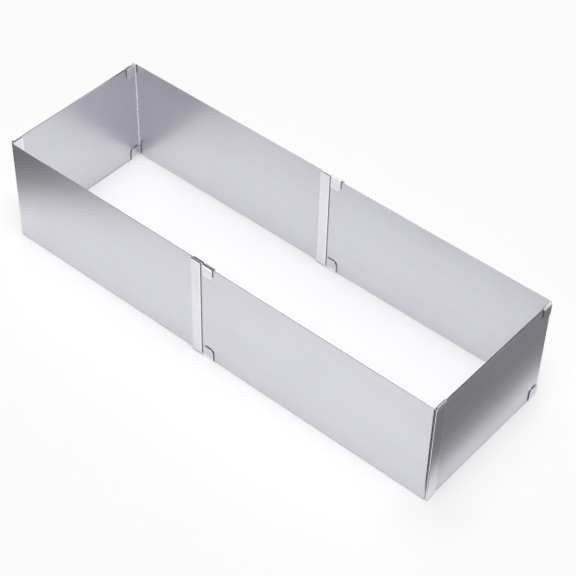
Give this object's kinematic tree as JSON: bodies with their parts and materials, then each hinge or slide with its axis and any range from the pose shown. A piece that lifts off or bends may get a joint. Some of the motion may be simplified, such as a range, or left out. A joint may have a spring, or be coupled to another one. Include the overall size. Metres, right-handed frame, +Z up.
{
  "type": "adjustable cake frame",
  "caption": "Bottomless rectangular baking frame of bent stainless corner sheets that hook over each other's edges and slide, so that its length and its width both adjust.",
  "frame": {"origin": "under the centre of the frame, on the surface that it stands on, with the frame at its greatest length and least width", "axes": "+X along the length towards the right-hand wall, +Y across the width from the front wall to the back wall, +Z up"},
  "size_m": [0.3074, 0.1034, 0.0714],
  "materials": {
    "front_left_steel": "satin stainless steel sheet with a fine grain along the walls",
    "front_right_steel": "satin stainless steel sheet with a fine grain along the walls",
    "back_left_steel": "satin stainless steel sheet with a fine grain along the walls",
    "back_right_steel": "satin stainless steel sheet with a fine grain along the walls"
  },
  "bodies": {
    "front_left": {"front_left_corner": "front_left_steel"},
    "front_right": {"front_right_corner": "front_right_steel"},
    "back_left": {"back_left_corner": "back_left_steel"},
    "back_right": {"back_right_corner": "back_right_steel"}
  },
  "joints": [
    {"name": "front_length_slide", "type": "slide", "parent": "front_left", "child": "front_right", "axis": [1, 0, 0], "range_m": [-0.141, 0]},
    {"name": "width_slide", "type": "slide", "parent": "front_left", "child": "back_left", "axis": [0, 1, 0], "range_m": [0, 0.084]},
    {"name": "back_length_slide", "type": "slide", "parent": "back_left", "child": "back_right", "axis": [1, 0, 0], "range_m": [-0.141, 0]}
  ],
  "couplings": [
    {"joint": "back_length_slide", "follows": "front_length_slide", "ratio": 1}
  ]
}
